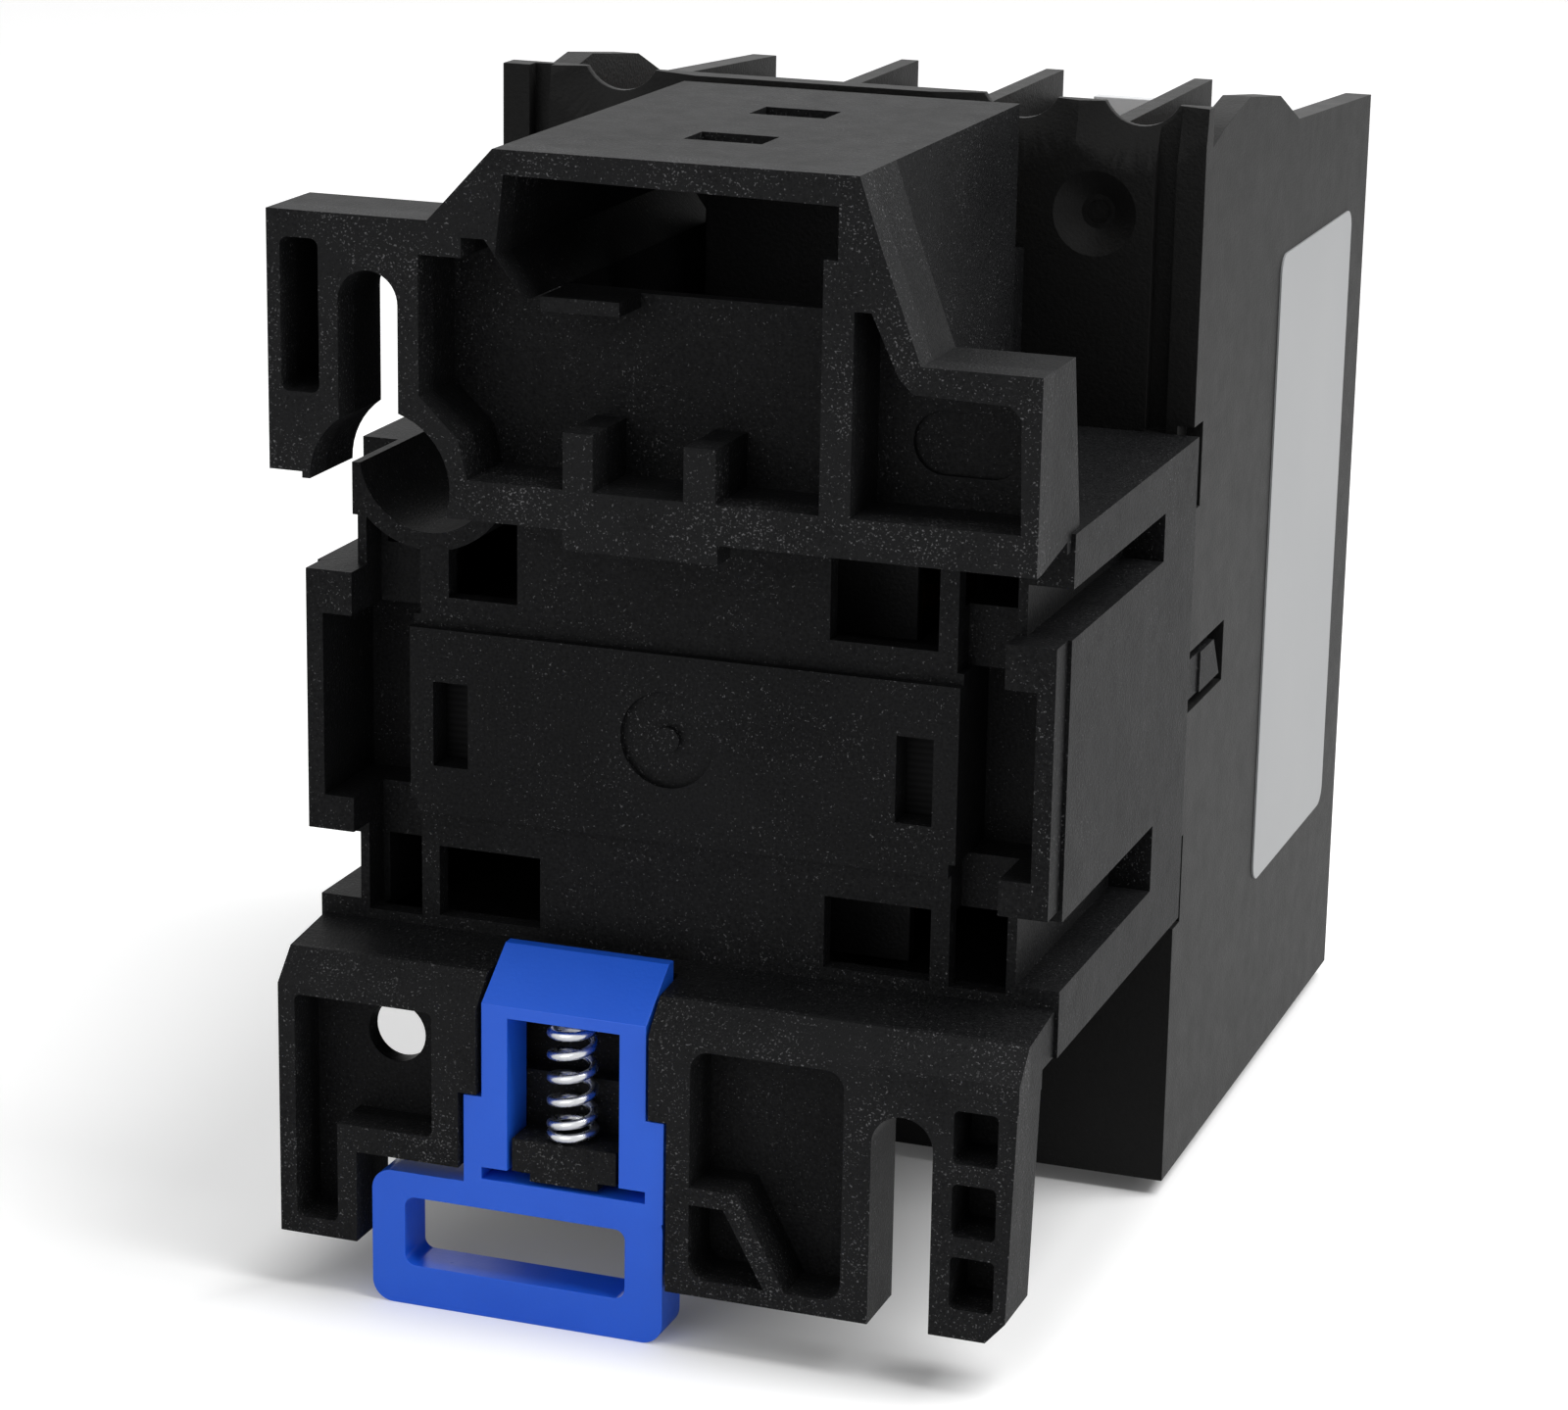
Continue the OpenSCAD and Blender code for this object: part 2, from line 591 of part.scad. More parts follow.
module front_cover() color("#2b2d30") rear_frame() difference() {
    collar = carrier_half + slide_gap - 0.1;
    union() {
        block([shell_in_left + 0.1, axis_height - deck + 0.1, cover_rear],
            [shell_in_right - 0.1, axis_height + deck - 0.1, depth]);
        // collar round the carrier's tip
        block([mid - 7, axis_height - collar, cover_rear - 4], [mid + 7, axis_height + collar, cover_rear + eps]);
    }
    block([mid - 4 - slide_gap, axis_height - 3 - slide_gap, cover_rear - 4 - cut],
        [mid + 4 + slide_gap, axis_height + 3 + slide_gap, depth + cut]);
    // slots that an add-on block hooks into
    both_sides() top_and_bottom() block([8, axis_height + 13, depth - 1.2], [14, axis_height + 15.4, depth + cut]);
    // frame groove round the window
    plate(depth - 0.6, depth + cut) difference() {
        round_rect([mid - 17, axis_height - 11], [mid + 17, axis_height + 11], 1.5);
        round_rect([mid - 16.2, axis_height - 10.2], [mid + 16.2, axis_height + 10.2], 1);
    }
}

// Bare marking tab behind the front wall of the third pole.
module marking_strip() color("#e9ebee") rear_frame()
    block([wall_u[2] - fin_t / 2 - 8, front_wall_top - 3.1, depth - panel_t - 1.2],
        [wall_u[2] - fin_t / 2 - 0.1, front_wall_top + 0.9, depth - panel_t]);

module side_label() color("#c9cccf") rear_frame()
    translate([shell_right, 0, 0]) rotate([90, 0, 90]) linear_extrude(0.15)
        round_rect([axis_height - 24, base_depth + 25.5], [axis_height + 28.1, depth - 5.8], 1.6);

// ---- magnet and coil ----

// An E-shaped core: back from w0 to w1, legs to w2.
module e_core(w0, w1, w2) {
    v0 = axis_height - stack_half;
    v1 = axis_height + stack_half;
    block([mid - core_half, v0, min(w0, w1)], [mid + core_half, v1, max(w0, w1)]);
    for (u = [[-core_half, -window_edge], [-leg_w, leg_w], [window_edge, core_half]])
        block([mid + u[0], v0, min(w1, w2)], [mid + u[1], v1, max(w1, w2)]);
}

module fixed_core() color("#8b8e91") rear_frame() difference() {
    e_core(core_rear, core_rear + core_back, pole_face);
    both_sides() block([mid - core_half + 2.8, 0, pole_face - 2.4], [mid - core_half + 3.8, 80, pole_face + cut]);
}

module shading_rings() color("#c98a4b") rear_frame() both_sides()
    translate([mid - core_half, axis_height, pole_face - 2.4]) difference() {
        translate([-1, -stack_half - 1, 0]) cube([4.8, core_stack + 2, 1.8]);
        translate([0, -stack_half, -cut]) cube([2.8, core_stack, 4]);
    }

module core_cushion() color("#303030") rear_frame()
    block([mid - 14, axis_height - 7, groove_depth + floor_t], [mid + 14, axis_height + 7, core_rear]);

module coil_bobbin() color("#3a3b3d") rear_frame() {
    bore_u = leg_w + 0.3;
    bore_v = stack_half + 0.3;
    rear = core_rear + core_back + 0.2;
    difference() {
        union() {
            block([mid - bore_u - bobbin_t, axis_height - bore_v - bobbin_t, rear],
                [mid + bore_u + bobbin_t, axis_height + bore_v + bobbin_t, bobbin_front]);
            for (w = [rear, bobbin_front - 1.2])
                block([mid - window_edge + 0.3, box_in_bottom + 0.3, w], [mid + window_edge - 0.3, box_in_top - 0.3, w + 1.2]);
            // tower that carries the coil terminals
            block([inner_left + 0.3, box_in_top - 1.2, bobbin_front - 1.2],
                [post_left - 0.3, roof_height - roof_t - 1, bobbin_front + 1.2]);
        }
        block([mid - bore_u, axis_height - bore_v, 0], [mid + bore_u, axis_height + bore_v, bobbin_front + cut]);
        for (u = coil_terminal_u) bar([u, terminal_row], bobbin_front - 3, bobbin_front + 2, 3.2);
        // clear of the driver channel's shell
        bar(head_hole, 0, base_depth, head_hole_d + 2 * rib + 0.6);
    }
}

module coil_winding() color("#a5522c") rear_frame() difference() {
    rear = core_rear + core_back + 1.4;
    plate(rear, bobbin_front - 1.2) round_rect([mid - window_edge + 0.9, box_in_bottom + 1.2],
        [mid + window_edge - 0.9, box_in_top - 1.2], 3);
    block([mid - leg_w - 0.3 - bobbin_t, axis_height - stack_half - 0.3 - bobbin_t, 0],
        [mid + leg_w + 0.3 + bobbin_t, axis_height + stack_half + 0.3 + bobbin_t, bobbin_front]);
}

module coil_terminals() color("#c9b77a") rear_frame() for (u = coil_terminal_u) difference() {
    block([u - 3.2, terminal_row - 4, bobbin_front + 1.2], [u + 3.2, terminal_row + 3, bobbin_front + 2.2]);
    bar([u, terminal_row], bobbin_front, bobbin_front + 4, 3.3);
}

module coil_clamps() color("#c4c6c8") rear_frame() for (u = coil_terminal_u) difference() {
    block([u - 2.9, terminal_row - 2.9, bobbin_front + 2.2], [u + 2.9, terminal_row + 2.9, bobbin_front + 3.2]);
    bar([u, terminal_row], bobbin_front, bobbin_front + 4, 3.3);
}

module coil_terminal_screws() color("#d7d8d8") rear_frame() for (u = coil_terminal_u) {
    bar([u, terminal_row], bobbin_front - 1, bobbin_front + 3.3, 3);
    bar([u, terminal_row], bobbin_front + 3.2, bobbin_front + 5.2, 5.4);
}

// ---- contacts ----

// A contact strip: terminal at the front, along the deck, then down to the fixed contact.
module contact_strip(u) {
    deck_top = axis_height + deck + deck_t;
    difference() {
        union() {
            block([u - strip_w / 2, deck_top, terminal_w], [u + strip_w / 2, axis_height + terminal_reach, terminal_front]);
            block([u - strip_w / 2, deck_top, strip_w0], [u + strip_w / 2, deck_top + strip_t, terminal_front]);
            block([u - strip_w / 2, axis_height + bridge_l / 2 - tip_d - 0.6, strip_w0],
                [u + strip_w / 2, deck_top + eps, tip_w0]);
        }
        bar([u, axis_height + terminal_height], terminal_w - cut, terminal_front + cut, screw_d + 0.3);
    }
}
module line_contact(i) color("#b87a4a") rear_frame() contact_strip(pole_u[i]);
module load_contact(i) color("#b87a4a") rear_frame() bottom_only() contact_strip(pole_u[i]);

module tips(w0)
    bar([0, axis_height + bridge_l / 2 - tip_d / 2 - 0.3], w0, w0 + tip_t, tip_d);

module fixed_contact_tips() color("#d9dadb") rear_frame() top_and_bottom()
    for (u = pole_u) translate([u, 0, 0]) tips(tip_w0);

module terminal_clamps() color("#c4c6c8") rear_frame() top_and_bottom() for (u = pole_u) difference() {
    block([u - 4.3, axis_height + terminal_height - 4.3, terminal_front],
        [u + 4.3, axis_height + terminal_height + 4.3, terminal_front + washer_t]);
    bar([u, axis_height + terminal_height], terminal_front - cut, terminal_front + 2 * cut, screw_d + 0.3);
}

module terminal_screws() color("#d7d8d8") rear_frame() top_and_bottom() for (u = pole_u) {
    head = terminal_front + washer_t;
    bar([u, axis_height + terminal_height], terminal_w - 5, head + 0.1, screw_d);
    bar([u, axis_height + terminal_height], head, head + screw_head_t, 7);
}

// ---- moving parts ----

module armature() color("#8b8e91") rear_frame() difference() {
    e_core(armature_front, armature_front - armature_back, armature_rear);
    pin_hole();
}

module pin_hole() translate([mid, 0, armature_front - 3]) rotate([-90, 0, 0]) cylinder(d = pin_d + 0.06, h = 80);

module armature_pin() color("#b9bbbd") rear_frame()
    translate([mid, axis_height - stack_half - lug_t, armature_front - 3]) rotate([-90, 0, 0])
        cylinder(d = pin_d, h = core_stack + 2 * lug_t);

module contact_carrier() color("#3b3d40") rear_frame() difference() {
    union() {
        block([mid - 8, axis_height - 16, carrier_wing], [mid + 8, axis_height + 16, carrier_wing + wing_t]);
        top_and_bottom() block([mid - 3.5, axis_height + stack_half + 0.1, armature_front - 5.4],
            [mid + 3.5, axis_height + stack_half + lug_t, carrier_wing + eps]);
        block([mid - 16, axis_height - carrier_half, armature_front],
            [mid + 16, axis_height + carrier_half, bridge_rear - 3]);
        block([shell_in_left + 0.8, axis_height - carrier_half, tip_w0],
            [shell_in_right - 0.8, axis_height + carrier_half, carrier_front]);
        block([mid - 4, axis_height - 3, carrier_front - eps], [mid + 4, axis_height + 3, depth - 0.4]);
    }
    for (u = pole_u) block([u - bridge_w / 2 - 0.2, 0, bridge_rear - 0.05], [u + bridge_w / 2 + 0.2, 80, window_front]);
    pin_hole();
}

module return_springs() color("#c9ccd0") rear_frame() top_and_bottom()
    translate([mid, axis_height + 12.4, bobbin_front]) coil_spring(6.4, 0.6, carrier_wing - bobbin_front, 6);

module bridge(i) color("#b87a4a") rear_frame()
    block([pole_u[i] - bridge_w / 2, axis_height - bridge_l / 2, bridge_rear],
        [pole_u[i] + bridge_w / 2, axis_height + bridge_l / 2, bridge_front]);

module bridge_tips(i) color("#d9dadb") rear_frame() top_and_bottom()
    translate([pole_u[i], 0, 0]) tips(bridge_tip_w);

module contact_spring(i) color("#c9ccd0") rear_frame()
    translate([pole_u[i], axis_height, bridge_front]) coil_spring(5.2, 0.7, spring_room, 5);

base_housing();
contact_housing();
front_cover();
marking_strip();
side_label();
fixed_core();
shading_rings();
core_cushion();
coil_bobbin();
coil_winding();
coil_terminals();
coil_clamps();
coil_terminal_screws();
line_contact(0);  // line_contact_1
line_contact(1);  // line_contact_2
line_contact(2);  // line_contact_3
line_contact(3);  // line_contact_aux
load_contact(0);  // load_contact_1
load_contact(1);  // load_contact_2
load_contact(2);  // load_contact_3
load_contact(3);  // load_contact_aux
fixed_contact_tips();
terminal_clamps();
terminal_screws();
armature();
armature_pin();
contact_carrier();
return_springs();
bridge(0);  // bridge_1
bridge(1);  // bridge_2
bridge(2);  // bridge_3
bridge(3);  // bridge_aux
bridge_tips(0);  // bridge_tips_1
bridge_tips(1);  // bridge_tips_2
bridge_tips(2);  // bridge_tips_3
bridge_tips(3);  // bridge_tips_aux
contact_spring(0);  // contact_spring_1
contact_spring(1);  // contact_spring_2
contact_spring(2);  // contact_spring_3
contact_spring(3);  // contact_spring_aux
din_clip();
din_clip_spring();
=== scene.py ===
import math

import bpy
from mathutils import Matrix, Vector


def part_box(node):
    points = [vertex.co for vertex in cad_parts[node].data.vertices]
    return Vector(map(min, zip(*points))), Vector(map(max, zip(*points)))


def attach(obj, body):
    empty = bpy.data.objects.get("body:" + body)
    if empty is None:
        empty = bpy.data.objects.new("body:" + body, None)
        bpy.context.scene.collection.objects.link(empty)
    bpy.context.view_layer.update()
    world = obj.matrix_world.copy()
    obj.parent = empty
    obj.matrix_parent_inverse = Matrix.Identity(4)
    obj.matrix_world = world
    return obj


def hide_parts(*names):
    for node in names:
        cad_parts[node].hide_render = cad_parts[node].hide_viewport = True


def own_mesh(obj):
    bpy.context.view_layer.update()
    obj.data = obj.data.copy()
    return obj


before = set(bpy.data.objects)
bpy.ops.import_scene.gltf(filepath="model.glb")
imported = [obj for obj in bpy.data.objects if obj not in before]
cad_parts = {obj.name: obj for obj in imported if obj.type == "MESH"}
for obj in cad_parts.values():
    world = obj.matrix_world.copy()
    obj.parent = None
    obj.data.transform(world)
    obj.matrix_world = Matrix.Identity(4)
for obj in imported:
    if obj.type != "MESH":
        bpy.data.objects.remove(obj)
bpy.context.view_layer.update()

scene = bpy.context.scene


# ---- Moulded base ----
# The relay's rear half: a glass-filled, near-black moulding with the rail groove, the two screw
# ears, the foot and the roofed box for the coil terminals. Its edges are slightly rounded, glass
# fibres show as pale flecks in its skin, and the faces in the mounting plane are rubbed greyer.


class Amount:
    """A number that changes over a surface. Arithmetic on it adds Math nodes."""

    def __init__(self, shading, socket):
        self.shading, self.socket = shading, socket

    def work_out(self, operation, first, second=0.0):
        return self.shading.node("ShaderNodeMath", {"operation": operation}, {0: first, 1: second})

    def __add__(self, other):
        return self.work_out("ADD", self, other)

    def __mul__(self, other):
        return self.work_out("MULTIPLY", self, other)

    def __sub__(self, other):
        return self.work_out("SUBTRACT", self, other)

    def __rsub__(self, other):
        return self.work_out("SUBTRACT", other, self)

    def __abs__(self):
        return self.work_out("ABSOLUTE", self)

    def most(self, other):
        return self.work_out("MAXIMUM", self, other)

    def clipped(self):
        return self.work_out("MINIMUM", self.most(0.0), 1.0)

    def above(self, other):
        return self.work_out("GREATER_THAN", self, other)

    __radd__, __rmul__ = __add__, __mul__


class Shading:
    """A tree of shader nodes. node() adds a node, feed() wires an amount into one that is there."""

    def __init__(self, tree):
        self.tree = tree

    def node(self, kind, settings, inputs, output=0):
        made = self.tree.nodes.new(kind)
        for name, value in settings.items():
            setattr(made, name, value)
        for socket, value in inputs.items():
            if isinstance(value, Amount):
                self.tree.links.new(value.socket, made.inputs[socket])
            else:
                made.inputs[socket].default_value = value
        return Amount(self, made.outputs[output])

    def feed(self, name, socket, amount):
        self.tree.links.new(amount.socket, self.tree.nodes[name].inputs[socket])


class Finish(Shading):
    """One surface finish. Its patterns lie on Object coordinates; set() feeds the surface."""

    def __init__(self, name, colour, roughness, metallic=0.0, specular=0.5, coat=0.0):
        self.material = bpy.data.materials.new(name)
        self.material.use_nodes = True
        super().__init__(self.material.node_tree)
        self.surface = self.tree.nodes["Principled BSDF"]
        self.surface.inputs["Base Color"].default_value = (*colour, 1)
        self.surface.inputs["Roughness"].default_value = roughness
        self.surface.inputs["Metallic"].default_value = metallic
        self.surface.inputs["Specular IOR Level"].default_value = specular
        self.surface.inputs["Coat Weight"].default_value = coat
        self.place = self.node("ShaderNodeTexCoord", {}, {}, "Object")

    def set(self, socket, amount):
        self.feed("Principled BSDF", socket, amount)

    def noise(self, scale, detail, along=(1, 1, 1)):
        place = self.node("ShaderNodeMapping", {}, {"Vector": self.place, "Scale": along})
        return self.node("ShaderNodeTexNoise", {}, {"Vector": place, "Scale": scale, "Detail": detail})

    def blend(self, factor, dark, light):
        # a colour Mix takes its factor at socket 0, its colours at 6 and 7, and gives them at 2
        dark = dark if isinstance(dark, Amount) else (*dark, 1)
        inputs = {0: factor, 6: dark, 7: (*light, 1)}
        return self.node("ShaderNodeMix", {"data_type": "RGBA"}, inputs, 2)

    def bump(self, height, strength, distance):
        self.set("Normal", self.node("ShaderNodeBump", {},
            {"Strength": strength, "Distance": distance, "Height": height}))


# scales of the skin's noise, in cells to a metre, from slow clouds to the finest fibres
cloud_scale, clump_scale, rub_scale, gloss_scale = 110, 170, 260, 520
pit_scale, crumb_scale, grain_scale, fibre_scale = 2300, 2600, 4200, 6200
grain_depth = 0.00008
# a fleck lies where its noise passes a level, ends with this sharp an edge, and shows this much
fibre_level, fibre_edge, fibre_show = 0.74, 9, 0.7
crumb_level, crumb_edge, crumb_show = 0.76, 8, 0.35
mounting_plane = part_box("base_housing")[1].y
rubbed_within = 0.0026


def glass_filled(name, dark, light, fleck, roughness, fleck_share, specular, rubbed=0.0):
    """Moulded plastic: cloudy shading, a fine spark-eroded grain and glass fibres in its skin.

    rubbed adds more fibres and a greyer tone on the faces that lie in the mounting plane."""
    skin = Finish(name, dark, roughness, specular=specular)
    depth = skin.node("ShaderNodeSeparateXYZ", {}, {"Vector": skin.place}, "Y")
    at_plane = depth.above(mounting_plane - rubbed_within)
    worn = at_plane * (skin.noise(rub_scale, 3) * 1.5 - 0.15) * rubbed
    grain = skin.noise(grain_scale, 3)
    tone = skin.blend(skin.noise(cloud_scale, 4) + worn + (grain * 2.4 - 1.2), dark, light)

    # the fibres are fine and bright, the crumbs coarser and fainter; both gather in clumps
    clumps = skin.noise(clump_scale, 4) - 0.5
    fibres = skin.noise(fibre_scale, 2) + clumps * 0.2 + worn * 0.085
    fibres = ((fibres - (fibre_level - fleck_share)) * fibre_edge).clipped()
    crumbs = skin.noise(crumb_scale, 5, (1, 1, 0.6)) + clumps * 0.14 + worn * 0.06
    crumbs = ((crumbs - (crumb_level - fleck_share)) * crumb_edge).clipped()
    skin.set("Base Color", skin.blend(fibres * fibre_show + crumbs * crumb_show, tone, fleck))

    skin.set("Roughness", skin.noise(gloss_scale, 2) * 0.1 + (roughness - 0.05))
    skin.bump(grain + skin.noise(pit_scale, 2) * 0.3, strength=0.5, distance=grain_depth)
    return skin.material


def pick(*pieces):
    """Selects these pieces and nothing else, the first one active."""
    for other in list(bpy.context.selected_objects):
        other.select_set(False)
    for piece in pieces:
        piece.select_set(True)
    bpy.context.view_layer.objects.active = pieces[0] if pieces else None


def fit(piece, name, body, material):
    """Gives a piece its finish and puts it in place of the CAD node, on that node's body."""
    piece.data.materials.clear()
    piece.data.materials.append(material)
    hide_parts(name)
    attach(piece, body)


# lengths in metres, angles in degrees
merged_within, flat_within, rounded_from, smooth_under = 0.000002, 0.8, 28, 35


def eased(name, body, width, material, segments=2):
    """A part with its sharp edges rounded, as a mould or a press leaves them."""
    piece = bpy.data.objects.new(name + "_moulding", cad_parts[name].data.copy())
    scene.collection.objects.link(piece)
    pick(piece)
    bpy.ops.object.mode_set(mode="EDIT")
    bpy.ops.mesh.select_all(action="SELECT")
    bpy.ops.mesh.remove_doubles(threshold=merged_within)
    bpy.ops.mesh.dissolve_limited(angle_limit=math.radians(flat_within))
    bpy.ops.object.mode_set(mode="OBJECT")
    edge = piece.modifiers.new("edge", "BEVEL")
    edge.width, edge.segments, edge.limit_method = width, segments, "ANGLE"
    edge.angle_limit, edge.use_clamp_overlap = math.radians(rounded_from), True
    bpy.ops.object.modifier_apply(modifier="edge")
    bpy.ops.object.shade_smooth_by_angle(angle=math.radians(smooth_under))
    flat = piece.modifiers.new("flat", "WEIGHTED_NORMAL")
    flat.mode, flat.weight, flat.keep_sharp = "FACE_AREA", 100, True
    bpy.ops.object.modifier_apply(modifier="flat")
    fit(piece, name, body, material)


base_plastic = glass_filled("base plastic", dark=(0.003, 0.0031, 0.0034),
    light=(0.0105, 0.0107, 0.0112), fleck=(0.165, 0.165, 0.17), roughness=0.48, fleck_share=0.076,
    specular=0.068, rubbed=0.8)
eased("base_housing", "housing", 0.00022, base_plastic)


# ---- Contact housing and front cover ----
# The front half holds the contacts and the screw terminals. It is moulded from a smoother satin
# grey plastic with hardly a fleck, and a snapped-in cover, a shade lighter, closes its front.

housing_plastic = glass_filled("housing plastic", dark=(0.0075, 0.0075, 0.0075),
    light=(0.0095, 0.0094, 0.0092), fleck=(0.03, 0.03, 0.03), roughness=0.44, fleck_share=0.02,
    specular=0.085)
cover_plastic = glass_filled("cover plastic", dark=(0.0105, 0.0105, 0.011),
    light=(0.0135, 0.0135, 0.014), fleck=(0.04, 0.04, 0.04), roughness=0.4, fleck_share=0.02,
    specular=0.12)
eased("contact_housing", "housing", 0.0002, housing_plastic)
eased("front_cover", "housing", 0.00018, cover_plastic)


# ---- Marking strip and side label ----
# A bare white plastic tab stands behind the front wall of the third pole, and a bare label of
# satin film is stuck to one side wall.


def dress(name, material):
    """Gives a part that keeps its CAD shape its finish."""
    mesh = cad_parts[name].data
    mesh.materials.clear()
    mesh.materials.append(material)


white = Finish("white plastic", (0.72, 0.73, 0.74), 0.45)
white.bump(white.noise(3000, 2), strength=0.2, distance=0.00004)
eased("marking_strip", "housing", 0.00012, white.material)

film = Finish("label film", (0.6, 0.61, 0.62), 0.34)
film.set("Base Color", film.blend(film.noise(60, 3), (0.265, 0.272, 0.28), (0.31, 0.315, 0.32)))
film.bump(film.noise(120, 2), strength=0.12, distance=0.0002)
dress("side_label", film.material)


# ---- Rail clip and its spring ----
# A blue sliding clip catches the rail's lower edge. It is pulled down by the loop at its foot,
# against a small steel spring that stands on a post of the base.

blue = Finish("blue plastic", (0.01, 0.085, 0.68), 0.36, specular=0.35)
blue.set("Base Color", blue.blend(blue.noise(160, 3), (0.011, 0.1, 0.67), (0.018, 0.13, 0.78)))
blue.set("Roughness", blue.noise(700, 2) * 0.16 + 0.24)
blue.bump(blue.noise(3500, 2), strength=0.25, distance=0.00004)
eased("din_clip", "clip", 0.00028, blue.material, segments=3)


def bare_metal(name, colour, roughness):
    """Bare metal with a faint grain, uneven in gloss and height."""
    grain = 900
    bare = Finish(name, colour, roughness, metallic=1.0)
    bare.set("Roughness", bare.noise(grain, 3) * 0.2 + (roughness - 0.1))
    bare.bump(bare.noise(grain * 3, 2), strength=0.15, distance=0.00003)
    return bare.material


spring_steel = bare_metal("spring steel", (0.66, 0.67, 0.69), 0.28)


def wound(name, body, start, axis, across, length, coil, wire, turns):
    """A compression spring with one closed turn at each end, wound as a smooth round wire."""
    centre, along, side = Vector(start), Vector(axis), Vector(across)
    other = along.cross(side)
    steps_per_turn, air = 24, 1.05
    steps = int(turns * steps_per_turn)
    path = bpy.data.curves.new(name + "_wire", "CURVE")
    path.dimensions, path.bevel_depth, path.bevel_resolution = "3D", wire / 2, 3
    path.use_fill_caps = True
    line = path.splines.new("POLY")
    line.points.add(steps)
    closed = 1 / turns
    rise = wire * air
    span = length - wire - 2 * rise
    radius = (coil - wire) / 2
    for i in range(steps + 1):
        t = i / steps
        if t < closed:
            height = t / closed * rise
        elif t > 1 - closed:
            height = length - wire - (1 - t) / closed * rise
        else:
            height = rise + (t - closed) / (1 - 2 * closed) * span
        turn = 2 * math.pi * turns * t
        out = side * math.cos(turn) + other * math.sin(turn)
        line.points[i].co = (*(centre + along * (wire / 2 + height) + out * radius), 1)
    piece = bpy.data.objects.new(name + "_coil", path)
    scene.collection.objects.link(piece)
    pick(piece)
    bpy.ops.object.convert(target="MESH")
    bpy.ops.object.shade_smooth_by_angle(angle=math.radians(50))
    fit(piece, name, body, spring_steel)
    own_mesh(piece)


low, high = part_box("din_clip_spring")
spring_length, spring_width = high.z - low.z, high.x - low.x
spring_foot = ((low.x + high.x) / 2, (low.y + high.y) / 2, low.z)
wound("din_clip_spring", "housing", spring_foot, axis=(0, 0, 1), across=(1, 0, 0),
    length=spring_length, coil=spring_width, wire=0.00068, turns=6)


# ---- Magnet and coil ----
# A laminated steel core on a rubber cushion carries the coil: enamelled copper wire wound on a
# black bobbin, whose tower holds the two coil terminals under the base's roof.

core = Finish("core steel", (0.01, 0.01, 0.0105), 0.7, metallic=0.4, specular=0.15)
layers = core.node("ShaderNodeTexWave", {"bands_direction": "Z"},
    {"Vector": core.place, "Scale": 640.0, "Distortion": 0.15})
core.set("Base Color", core.blend(layers, (0.007, 0.0072, 0.0076), (0.012, 0.0122, 0.0126)))
core.bump(layers, strength=0.25, distance=0.00006)
for part in ("fixed_core", "armature"):
    dress(part, core.material)

copper = bare_metal("copper", (0.72, 0.33, 0.17), 0.3)
dress("shading_rings", copper)

rubber = Finish("cushion rubber", (0.02, 0.02, 0.02), 0.8)
rubber.bump(rubber.noise(2600, 2), strength=0.4, distance=0.00006)
dress("core_cushion", rubber.material)

enamel = Finish("winding enamel", (0.36, 0.12, 0.04), 0.25, metallic=0.8, coat=0.5)
turns_of_wire = enamel.node("ShaderNodeTexWave", {"bands_direction": "Y"},
    {"Vector": enamel.place, "Scale": 900.0, "Distortion": 0.4})
enamel.set("Base Color", enamel.blend(turns_of_wire, (0.16, 0.045, 0.015), (0.5, 0.19, 0.07)))
enamel.bump(turns_of_wire, strength=0.8, distance=0.0001)
dress("coil_winding", enamel.material)

bobbin_plastic = glass_filled("bobbin plastic", dark=(0.014, 0.014, 0.015),
    light=(0.02, 0.02, 0.021), fleck=(0.06, 0.06, 0.06), roughness=0.5, fleck_share=0.03,
    specular=0.2)
eased("coil_bobbin", "housing", 0.00015, bobbin_plastic)

brass = bare_metal("terminal brass", (0.78, 0.62, 0.3), 0.3)
zinc = bare_metal("zinc-plated steel", (0.62, 0.63, 0.64), 0.3)
eased("coil_terminals", "housing", 0.0001, brass)
eased("coil_clamps", "housing", 0.0001, zinc)


# ---- Contacts and screw terminals ----
# Copper strips run from the terminals to silver contact tips. Each terminal clamps its wire
# under a square washer with a zinc-plated screw, whose pan head has a cross recess.

poles = ("1", "2", "3", "aux")
for pole in poles:
    for name in ("line_contact_", "load_contact_"):
        eased(name + pole, "housing", 0.00012, copper)
    eased("bridge_" + pole, "bridge_body_" + pole, 0.00012, copper)
silver = bare_metal("contact silver", (0.82, 0.82, 0.83), 0.22)
dress("fixed_contact_tips", silver)
for pole in poles:
    dress("bridge_tips_" + pole, silver)
eased("terminal_clamps", "housing", 0.00015, zinc)


